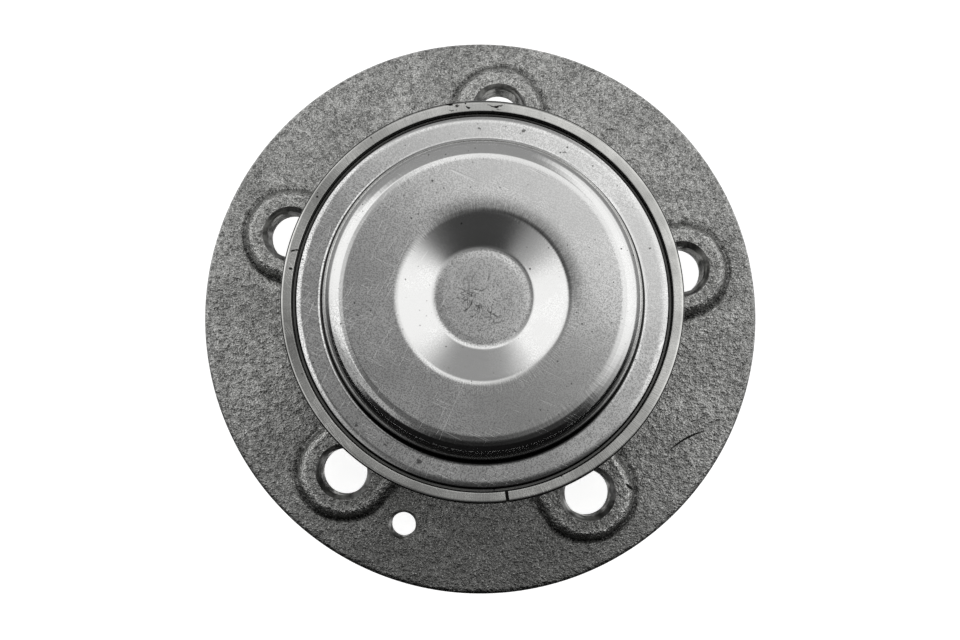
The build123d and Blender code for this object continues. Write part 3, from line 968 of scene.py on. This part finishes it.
def thread_cutter(name, sizes, top, chamfers):
    """A plug in the form of a threaded hole from z = 0 to top, with chamfered mouths."""
    minor, major, pitch = sizes
    steps = THREAD_STEPS
    angles = np.linspace(0, 2 * pi, steps, endpoint=False)
    points = []
    for z in np.arange(-THREAD_PAST, top + THREAD_PAST, pitch / 6):
        mouth = minor + max(chamfers[0] - z, chamfers[1] + z - top)
        wall = np.maximum(thread_radius(z / pitch - angles / (2 * pi), minor, major), mouth)
        points += [(r * cos(angle), r * sin(angle), z) for r, angle in zip(wall, angles)]
    faces = [tuple(range(steps - 1, -1, -1)), tuple(range(len(points) - steps, len(points)))]
    for low in range(0, len(points) - steps, steps):
        for step in range(steps):
            onward = (step + 1) % steps
            faces.append((low + step, low + onward, low + steps + onward, low + steps + step))
    mesh = bpy.data.meshes.new(name)
    mesh.from_pydata(points, [], faces)
    return mesh


CIRCLE_INPUTS = {
    "Geometry": "NodeSocketGeometry",
    "Count": 5,
    "Circle": 0.05,
    "First Angle": 0.0,
    "Finish": "NodeSocketMaterial",
}


def circle_group(name, inputs):
    """A tree that sets things in a circle, with its points and the turn that faces each outwards."""
    tree, given, out = group(
        name, "GeometryNodeTree", CIRCLE_INPUTS | inputs, ["Geometry"], "NodeSocketGeometry"
    )
    index = add(tree, "GeometryNodeInputIndex").outputs[0]
    angle = plus(over(times(index, 2 * pi), given["Count"]), given["First Angle"])
    x = times(math("COSINE", angle), given["Circle"])
    y = times(math("SINE", angle), given["Circle"])
    place = add(tree, "ShaderNodeCombineXYZ", {0: x, 1: y}).outputs[0]
    points = add(tree, "GeometryNodePoints", {"Count": given["Count"], "Position": place}).outputs[0]
    return tree, given, out, points, add(tree, "ShaderNodeCombineXYZ", {2: angle}).outputs[0]


def set_round(points, facing, thing):
    """One of a thing on each point, as one mesh."""
    tree, inputs = points.id_data, {"Points": points, "Instance": thing, "Rotation": facing}
    placed = add(tree, "GeometryNodeInstanceOnPoints", inputs).outputs[0]
    return add(tree, "GeometryNodeRealizeInstances", {0: placed}).outputs[0]


def give_finish(given, out, geometry, selection=True):
    """Set the Finish on the selected faces and hand the mesh on."""
    inputs = {"Geometry": geometry, "Selection": selection, "Material": given["Finish"]}
    plug(add(geometry.id_data, "GeometryNodeSetMaterial", inputs).outputs[0], out[0])


def ring_of_bores(name):
    """Cuts a ring of holes, each in the shape of the Cutter, and gives their walls the Finish."""
    tree, given, out, points, facing = circle_group(name, {"Cutter": "NodeSocketObject"})
    cutter = add(tree, "GeometryNodeObjectInfo", {"Object": given["Cutter"]}).outputs["Geometry"]
    label = {"Geometry": cutter, "Name": "bored", "Value": True}
    faces = {"data_type": "BOOLEAN", "domain": "FACE"}
    marked = add(tree, "GeometryNodeStoreNamedAttribute", label, **faces).outputs[0]
    both = {"Mesh 1": given["Geometry"], "Mesh 2": set_round(points, facing, marked)}
    way = {"operation": "DIFFERENCE", "solver": "MANIFOLD"}
    cut = add(tree, "GeometryNodeMeshBoolean", both, **way).outputs[0]
    whole = add(tree, "GeometryNodeRealizeInstances", {0: cut}).outputs[0]
    bored = add(tree, "GeometryNodeInputNamedAttribute", {"Name": "bored"}, data_type="BOOLEAN")
    give_finish(given, out, whole, bored.outputs[0])
    return tree


def bore(mesh, cutter_mesh, count, circle, first_angle, finish):
    """Cut a ring of like holes in a mesh; the cutter's mesh stands on the axle line."""
    cutter = bpy.data.objects.new("cutter", cutter_mesh)
    bpy.context.scene.collection.objects.link(cutter)
    settings = {"Count": count, "Circle": circle, "First Angle": first_angle, "Finish": finish}
    made = grow(mesh, effect(ring_of_bores), settings | {"Cutter": cutter})
    bpy.data.objects.remove(cutter)
    return made


def paint_hub(mesh, hub):
    """Give the faces that no tool has bored their finish: 0 forged skin, 1 turned steel."""
    for face in mesh.polygons:
        if face.material_index > 1:
            continue
        radius, z = face.center.xy.length, face.center.z
        back = radius > SHOULDER_RADIUS and z > hub.flange_thickness - 1.6 * MM
        rim = radius > hub.flange_radius - 0.05 * MM and z > 1.2 * MM
        recess = radius < 25.6 * MM and HUB_LOW.z + 0.8 * MM < z < 17 * MM
        face.material_index = 0 if back or rim or recess else 1


class HUB_BEARING_OT_wheel_hub(bpy.types.Operator):
    """Make the forged hub with its flange, bolt lands, threaded holes, pilot and spindle"""

    bl_idname = "hub_bearing.wheel_hub"
    bl_label = "Wheel Hub"

    def execute(self, context):
        hub, bearing = context.scene.hub_sizes, context.scene.bearing_sizes
        finishes = context.scene.bearing_finishes
        mesh = spin("forged_hub", hub_outline(hub, bearing), flange_angles(hub), closed=False)
        forge_back(mesh, hub)
        mesh.materials.append(forged_skin(finishes))
        mesh.materials.append(turned_steel(finishes, "Turned hub steel", 0.16 * MM, 0.006 * MM))
        thread = cut_thread(finishes)
        bolt_sizes = (hub.bolt_minor, hub.bolt_major, hub.bolt_pitch)
        bolt = thread_cutter("bolt_cutter", bolt_sizes, hub.land_height, metres(0.5, 1.35))
        mesh = bore(mesh, bolt, hub.bolt_count, hub.bolt_circle, FIRST_BOLT, thread)
        screw_sizes = (hub.screw_minor, hub.screw_major, hub.screw_pitch)
        screw = thread_cutter("screw_cutter", screw_sizes, hub.flange_thickness, metres(0.7, 0.7))
        x, y, _ = MOUNTS["disc_screw"]["pos_m"]
        mesh = bore(mesh, screw, 1, Vector((x, y)).length, atan2(y, x), thread)
        paint_hub(mesh, hub)
        mark_lands(mesh, hub)
        piece("forged_hub", mesh, None, "hub", "forged_steel", "wheel_hub")
        return {"FINISHED"}


# ---- Rings, cap and seals ----

SLOT_ANGLE = radians(282.2)
SLOT_INSET = 1.8 * MM
SLOT_LENGTH = 8 * MM
SEAL_SEAT = 33.61 * MM
SHEET_BEND = 0.8 * MM
CAGE_BORE = 31.5 * MM
CAGE_ROUND = 0.5 * MM
BALL_STEPS = 40


def turned_piece(name, corners, material, body, slot, *nodes):
    """A ring turned from an outline of (radius, z, rounding) corners."""
    piece(name, spin(name, held(rounded(corners))), material, body, slot, *nodes)


def pressed_piece(name, corners, thickness, side, material, body, slot, *nodes):
    """A ring pressed from sheet along a path of (radius, z, rounding) corners."""
    piece(name, spin(name, sheet_section(corners, thickness, side)), material, body, slot, *nodes)


def points_mm(*points):
    """Points (radius, z) in millimetres, as vectors in metres."""
    return [Vector(metres(*point)) for point in points]


def cutter_from(shape, place, **sizes):
    """A mesh to cut with, made by one of bmesh's shape operators."""
    work = bmesh.new()
    shape(work, matrix=place, **sizes)
    return to_mesh(work, bpy.data.meshes.new("cutter"))


class HUB_BEARING_OT_outer_ring(bpy.types.Operator):
    """Make the outer ring with both its grooves and the slot in its end face"""

    bl_idname = "hub_bearing.outer_ring"
    bl_label = "Outer Ring"

    def execute(self, context):
        bearing = context.scene.bearing_sizes
        radius, low, land = bearing.ring_radius / MM, RING_LOW.z / MM, OUTER_LAND / MM
        outside = corners_mm(
            *((43.9, low, 0), (radius - 0.8, low, 0), (radius, low + 0.8, 0)),
            *((radius, RING_FACE, 0.7), (45.8, RING_FACE, 0.15), (45.8, 58.6, 0.15)),
            *((45.2, 58.6, 0), (44.9, 58.0, 0), (44.9, 54.3, 0)),
            *((land + 0.6, 54.3, 0), (land, 53.7, 0)),
        )
        outline = rounded(outside, closed=False)
        outline += groove_arc(bearing, "inboard", 1, OUTER_SHOULDER, OUTER_LAND)[::-1]
        outline += groove_arc(bearing, "outboard", 1, OUTER_LAND, OUTER_SHOULDER)[::-1]
        outline += points_mm((41.2, 21.7), (43.5, 21.7), (43.5, 15.4))
        mesh = spin("outer_race_ring", held(outline))
        steel = ground_steel(context.scene.bearing_finishes)
        mesh.materials.append(steel)
        size = Matrix.Diagonal((SLOT_LENGTH, bearing.slot_width, 2 * bearing.slot_depth, 1))
        place = Matrix.Translation((0, 0, RING_HIGH.z)) @ size
        slot = cutter_from(bmesh.ops.create_cube, place, size=1)
        mesh = bore(mesh, slot, 1, bearing.ring_radius - SLOT_INSET, SLOT_ANGLE, steel)
        piece("outer_race_ring", mesh, None, "outer", "bearing_steel", "outer_ring")
        return {"FINISHED"}


class HUB_BEARING_OT_sensor_cap(bpy.types.Operator):
    """Make the pressed cap over the spindle end, with the rubber band on its skirt"""

    bl_idname = "hub_bearing.sensor_cap"
    bl_label = "Sensor Cap"

    def execute(self, context):
        cap, finishes = context.scene.cap_sizes, context.scene.bearing_finishes
        low, wall = CAP_LOW.z / MM, CAP_HIGH.x / MM
        dip = CAP_CREST - cap.dimple_depth / MM
        path = corners_mm(
            *((44.3, low, 0), (44.3, 57.2, 0.4), (wall, 57.9, 1.2), (wall, CAP_FACE - 0.3, 0.6)),
            *((43.6, CAP_FACE, 3.5), (cap.dome_foot / MM, CAP_FACE, 1)),
            *((cap.dome_top / MM, CAP_CREST, cap.dome_round / MM), (cap.dimple_rim / MM, CAP_CREST, 3.5)),
            *((cap.dimple_floor / MM, dip, 3.4), (9.6, dip + 0.06, 14), (0, dip + 0.08, 0)),
        )
        sheet = cap_steel(finishes)
        pressed_piece("sensor_cap", path, cap.sheet, 1, sheet, "outer", "cap_steel", "end_cap")
        corners = corners_mm((44.31, low, 0.2), (wall, low + 0.3, 0.2), (wall, 56.9, 0.2), (44.31, 57.1, 0))
        rubber = moulded("Cap band rubber", finishes.rubber, 0.55, 0.3 * MM, 0.01 * MM)
        turned_piece("cap_band", corners, rubber, "outer", "seal_rubber", "cap_seal")
        return {"FINISHED"}


class HUB_BEARING_OT_inner_ring(bpy.types.Operator):
    """Make the inboard inner ring and the wheel-speed encoder that it carries"""

    bl_idname = "hub_bearing.inner_ring"
    bl_label = "Inner Ring and Encoder"

    def execute(self, context):
        bearing, finishes = context.scene.bearing_sizes, context.scene.bearing_finishes
        shoulder = INNER_SHOULDER / MM
        end = corners_mm((shoulder, 50, 0), (shoulder, 58.5, 0.6), (26.5, 58.5, 0), (25, 57, 0))
        outline = points_mm((25, 40.21), (26.5, 38.71), (30.1, 38.71), (30.4, 39.0))
        outline += groove_arc(bearing, "inboard", -1, INNER_LAND, INNER_SHOULDER)
        outline += rounded(end, closed=False)[1:]
        race = turned_steel(finishes, "Race steel", 0.1 * MM, 0.002 * MM)
        mesh = spin("inboard_race", held(outline))
        piece("inboard_race", mesh, race, "hub", "bearing_steel", "inner_ring")

        low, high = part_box("encoder_carrier")
        carrier = [(SEAL_SEAT, low.z, 0), (SEAL_SEAT, high.z, SHEET_BEND), (high.x, high.z, 0)]
        sheet = turned_steel(finishes, "Encoder sheet", 0.5 * MM, 0.004 * MM)
        nodes = ("hub", "seal_steel", "encoder_carrier")
        pressed_piece("encoder_cup", carrier, bearing.seal_sheet, -1, sheet, *nodes)

        low, high = (corner.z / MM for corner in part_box("encoder_magnet"))
        magnet = corners_mm((35.4, low, 0), (43.1, low, 0), (43.1, high, 0.3), (35.4, high, 0.3))
        finish = moulded("Encoder rubber", finishes.magnet, 0.45, 0.2 * MM, 0.006 * MM)
        turned_piece("encoder_track", magnet, finish, "hub", "magnet_rubber", "encoder_magnet")
        return {"FINISHED"}


class HUB_BEARING_OT_seal(bpy.types.Operator):
    """Make the seal at the flange: its slinger, its case and its rubber lips"""

    bl_idname = "hub_bearing.seal"
    bl_label = "Seal"

    def execute(self, context):
        bearing, finishes = context.scene.bearing_sizes, context.scene.bearing_finishes
        thickness = bearing.seal_sheet
        sheet = turned_steel(finishes, "Seal sheet", 0.5 * MM, 0.004 * MM)
        low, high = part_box("seal_slinger")
        slinger = [(high.x, low.z, 0), (SEAL_SEAT, low.z, SHEET_BEND), (SEAL_SEAT, high.z, 0)]
        pressed_piece("slinger", slinger, thickness, -1, sheet, "hub", "seal_steel", "seal_slinger")
        low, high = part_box("seal_case")
        case = [(high.x, low.z, 0), (high.x, high.z, SHEET_BEND), (37 * MM, high.z, 0)]
        pressed_piece("seal_cup", case, thickness, 1, sheet, "outer", "seal_steel", "seal_case")

        tip, root, top = 16.1, 19.79, 20.79
        lips = [(42.5, top, 0), (42.5, top - 0.8, 0)]
        for start, outer, inner, end in ((41.0, 41.9, 41.4, 40.2), (39.4, 39.2, 38.7, 38.3)):
            lips += [(start, root, 0.3), (outer, tip, 0), (inner, tip, 0), (end, root, 0.3)]
        lips += [(36.4, root - 0.2, 0.3), (34.31, 17.4, 0), (34.31, 17.9, 0), (36.0, top - 0.2, 0.3)]
        lips += [(36.2, 21.4, 0), (36.99, 21.4, 0), (36.99, top, 0)]
        rubber = moulded("Seal rubber", finishes.rubber, 0.5, 0.3 * MM, 0.01 * MM)
        turned_piece("seal_lips", corners_mm(*lips), rubber, "outer", "seal_rubber", "seal_lip")
        return {"FINISHED"}


def ball_row(name):
    """A row of balls on a circle about the axle line."""
    tree, given, out, points, facing = circle_group(name, {"Ball Radius": 0.006, "Row Height": 0.03})
    size = {"Segments": BALL_STEPS, "Rings": BALL_STEPS // 2, "Radius": given["Ball Radius"]}
    ball = add(tree, "GeometryNodeMeshUVSphere", size).outputs[0]
    lift = add(tree, "ShaderNodeCombineXYZ", {2: given["Row Height"]}).outputs[0]
    raised = add(tree, "GeometryNodeTransform", {"Geometry": ball, "Translation": lift}).outputs[0]
    give_finish(given, out, set_round(points, facing, raised))
    return tree


class HUB_BEARING_OT_ball_rows(bpy.types.Operator):
    """Make the two rows of balls and the cage of each"""

    bl_idname = "hub_bearing.ball_rows"
    bl_label = "Balls and Cages"

    def execute(self, context):
        bearing, finishes = context.scene.bearing_sizes, context.scene.bearing_finishes
        polished = ball_steel(finishes)
        polymer = moulded("Cage polymer", finishes.cage, 0.4, 0.4 * MM, 0.01 * MM)
        count, pitch = bearing.ball_count, bearing.ball_pitch
        sizes = {"u_segments": BALL_STEPS, "v_segments": BALL_STEPS // 2, "radius": bearing.groove_radius}
        for row in ("outboard", "inboard"):
            centre = first_ball(row)
            start = atan2(centre.y, centre.x)
            settings = {"Count": count, "Circle": pitch, "First Angle": start, "Finish": polished}
            settings |= {"Ball Radius": bearing.ball_radius, "Row Height": centre.z}
            balls = grow(bpy.data.meshes.new("balls"), effect(ball_row), settings)
            nodes = [name for name in frame["nodes"] if name.startswith(f"ball_{row}")]
            piece(f"balls_{row}", balls, None, f"row_{row}", "ball_steel", *nodes)

            low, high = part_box(f"cage_{row}")
            corners = ((CAGE_BORE, low.z), (high.x, low.z), (high.x, high.z), (CAGE_BORE, high.z))
            cage = spin(f"cage_ring_{row}", rounded([(r, z, CAGE_ROUND) for r, z in corners]))
            cage.materials.append(polymer)
            place = Matrix.Translation((0, 0, centre.z))
            pocket = cutter_from(bmesh.ops.create_uvsphere, place, **sizes)
            cage = bore(cage, pocket, count, pitch, start, polymer)
            piece(f"cage_ring_{row}", cage, None, f"row_{row}", "cage_polymer", f"cage_{row}")
        return {"FINISHED"}


# ---- Studio ----

CAMERA_PAN, CAMERA_TILT, CAMERA_ROLL = 0.002, -0.0663, -0.0885
SENSOR_WIDTH = 36
FLOOR_REACH = 3.0
FLOOR_GLOW = 0.62
CLOTH_START = 0.08
HIDDEN_FROM = ("camera", "diffuse", "transmission", "volume_scatter", "shadow")


def glowing(name):
    """A material that will only give light, and the point on the object."""
    material, tree, place = new_material(name)
    tree.nodes.remove(tree.nodes["Principled BSDF"])
    return material, place


def give_light(material, level):
    """Link a colour, as light, to a glowing material's output."""
    tree = material.node_tree
    glow = add(tree, "ShaderNodeEmission", {"Color": level, "Strength": 1.0}).outputs[0]
    plug(glow, tree.nodes["Material Output"].inputs["Surface"])
    return material


def tent_material(studio):
    """White tent with a grey overhead card, a black flag in front and a grey strip behind."""
    material, place = glowing("Light tent")
    way = vector("NORMALIZE", place)
    x, y, z = (axis(way, index) for index in range(3))

    def along(across, up):
        return plus(times(x, across), times(y, up))

    overhead = times(band(along(0.66, 0.75), -0.03, 0.235, 1, 0), band(x, -0.38, -0.24))
    dusk = band(along(0.6, 0.8), -0.22, -0.06, 1, 0)
    card = blend(dusk, grey(studio.overhead), grey(0.07))
    strip = times(band(along(0.14, 1), 0.38, 0.56), band(x, 0.2, 0.45, 1, 0))
    side = times(band(y, -0.34, -0.12, 1, 0), band(x, -0.3, 0.1, 1, 0))
    front = times(band(y, -0.46, -0.05, 1, 0), band(x, -0.42, -0.12))
    front = most(front, band(y, -0.66, -0.5, 1, 0))
    flag = times(front, band(along(1, 1), 0.1, 0.32, 1, 0.7))
    black = blend(band(y, -0.75, -0.5), grey(0.008), grey(0.045))
    foot, crown = band(z, 0.1, 0.3, 1, 0), band(z, 0.86, 0.97)
    level = WHITE
    for where, tone in (
        *((foot, grey(0.55)), (crown, grey(0.86)), (overhead, card)),
        *((strip, grey(studio.strip)), (side, grey(0.4)), (flag, black)),
    ):
        level = blend(where, level, tone)
    return give_light(material, level)


def cloth_material(level):
    """Dark cloth on the floor: black before the part, grey behind it and white close behind."""
    material, place = glowing("Dark cloth")
    y, radius = axis(place, 1), vector("LENGTH", place)
    close = times(band(radius, 0.15, 0.17, 1, 0), band(y, -0.05, 0.03))
    tone = blend(band(y, -0.16, 0.1), grey(0.006), grey(level))
    return give_light(material, blend(close, tone, WHITE))


def staged(name, mesh, material, only_reflected=True):
    """Put a mesh of the studio in the scene; a card is kept out of every ray but the glossy ones."""
    mesh.materials.append(material)
    made = bpy.data.objects.new(name, mesh)
    bpy.context.scene.collection.objects.link(made)
    if only_reflected:
        for ray in HIDDEN_FROM:
            setattr(made, f"visible_{ray}", False)


def seen(tree):
    """1 for the rays that show the background: from the camera, off metal and through glass."""
    path = add(tree, "ShaderNodeLightPath").outputs
    return most(*(path[f"Is {kind} Ray"] for kind in ("Camera", "Glossy", "Transmission")))


def floor_material(tone):
    """Pale floor that the camera sees as white, with the object's shadow kept."""
    material, tree, _ = new_material("Studio floor")
    paper = use(tree, forged_grain, Grain=2 * MM, Clouds=120 * MM)["Cloud"]
    surface(material, blend(paper, solid(tone, 0.98), solid(tone)), 0.7, metallic=0.0)
    strength = times(seen(tree), FLOOR_GLOW)
    glow = add(tree, "ShaderNodeEmission", {"Color": WHITE, "Strength": strength}).outputs[0]
    both = {0: tree.nodes["Principled BSDF"].outputs[0], 1: glow}
    both = add(tree, "ShaderNodeAddShader", both).outputs[0]
    plug(both, tree.nodes["Material Output"].inputs["Surface"])
    return material


def studio_world(fill):
    """White where it is seen or reflected, and a plain soft fill from all round."""
    world = bpy.data.worlds.new("Studio light")
    world.use_nodes = True
    tree = world.node_tree
    background = tree.nodes["Background"].inputs
    plug(band(seen(tree), 0.0, 1.0, fill, 1.0), background["Strength"])
    plug(WHITE, background["Color"])
    bpy.context.scene.world = world


class HUB_BEARING_OT_studio(bpy.types.Operator):
    """Set up the floor, the soft light, the grey cards and the camera"""

    bl_idname = "hub_bearing.studio"
    bl_label = "Studio"

    def execute(self, context):
        studio = context.scene.bearing_studio
        context.scene.view_settings.view_transform = "Standard"
        studio_world(studio.fill)
        floor = bpy.data.meshes.new("floor")
        signs = ((-1, -1), (1, -1), (1, 1), (-1, 1))
        corners = [(x * FLOOR_REACH, y * FLOOR_REACH, HUB_LOW.z) for x, y in signs]
        floor.from_pydata(corners, [], [(0, 1, 2, 3)])
        staged("floor", floor, floor_material(studio.floor_tone), only_reflected=False)
        radius = studio.tent_radius
        arc = [(radius * cos(turn), radius * sin(turn)) for turn in np.linspace(0, pi / 2, 25)]
        tent = spin("light_tent", arc, closed=False)
        tent.shade_smooth()
        staged("light_tent", tent, tent_material(studio))
        level = HUB_LOW.z + MM
        cloth = spin("dark_cloth", [(CLOTH_START, level), (radius, level)], closed=False)
        staged("dark_cloth", cloth, cloth_material(studio.cloth))
        lens = bpy.data.cameras.new("camera")
        lens.sensor_width = SENSOR_WIDTH
        lens.sensor_fit = "HORIZONTAL"
        lens.lens = studio.camera_lens
        camera = bpy.data.objects.new("camera", lens)
        aim = Matrix.Rotation(CAMERA_ROLL, 3, "Z") @ Matrix.Rotation(CAMERA_TILT, 3, "X")
        aim = aim @ Matrix.Rotation(CAMERA_PAN, 3, "Y")
        stand = Vector((studio.camera_across, studio.camera_back, studio.camera_height))
        camera.matrix_world = Matrix.Translation(stand) @ aim.transposed().to_4x4()
        context.scene.collection.objects.link(camera)
        context.scene.camera = camera
        return {"FINISHED"}


# ---- Panel and registration ----

SETTINGS = {
    "hub_sizes": HubSizes,
    "bearing_sizes": BearingSizes,
    "cap_sizes": CapSizes,
    "bearing_finishes": Finishes,
    "bearing_studio": Studio,
}
PIECES = (
    HUB_BEARING_OT_wheel_hub,
    HUB_BEARING_OT_outer_ring,
    HUB_BEARING_OT_sensor_cap,
    HUB_BEARING_OT_inner_ring,
    HUB_BEARING_OT_seal,
    HUB_BEARING_OT_ball_rows,
    HUB_BEARING_OT_studio,
)


class HUB_BEARING_PT_panel(bpy.types.Panel):
    """Lists the pieces and their sizes and finishes"""

    bl_label = "Wheel Hub Bearing"
    bl_idname = "HUB_BEARING_PT_panel"
    bl_space_type = "VIEW_3D"
    bl_region_type = "UI"
    bl_category = "Hub Bearing"

    def draw(self, context):
        for operator in PIECES:
            self.layout.operator(operator.bl_idname)
        for settings, group_class in SETTINGS.items():
            box = self.layout.box()
            for name in group_class.__annotations__:
                box.prop(getattr(context.scene, settings), name)


CLASSES = (*SETTINGS.values(), *PIECES, HUB_BEARING_PT_panel)


def register():
    for cls in CLASSES:
        bpy.utils.register_class(cls)
    for name, cls in SETTINGS.items():
        setattr(bpy.types.Scene, name, PointerProperty(type=cls))


def unregister():
    for name in SETTINGS:
        delattr(bpy.types.Scene, name)
    for cls in reversed(CLASSES):
        bpy.utils.unregister_class(cls)


def main():
    register()
    bpy.ops.hub_bearing.wheel_hub()
    bpy.ops.hub_bearing.outer_ring()
    bpy.ops.hub_bearing.sensor_cap()
    bpy.ops.hub_bearing.inner_ring()
    bpy.ops.hub_bearing.seal()
    bpy.ops.hub_bearing.ball_rows()
    bpy.ops.hub_bearing.studio()


if __name__ == "__main__":
    main()
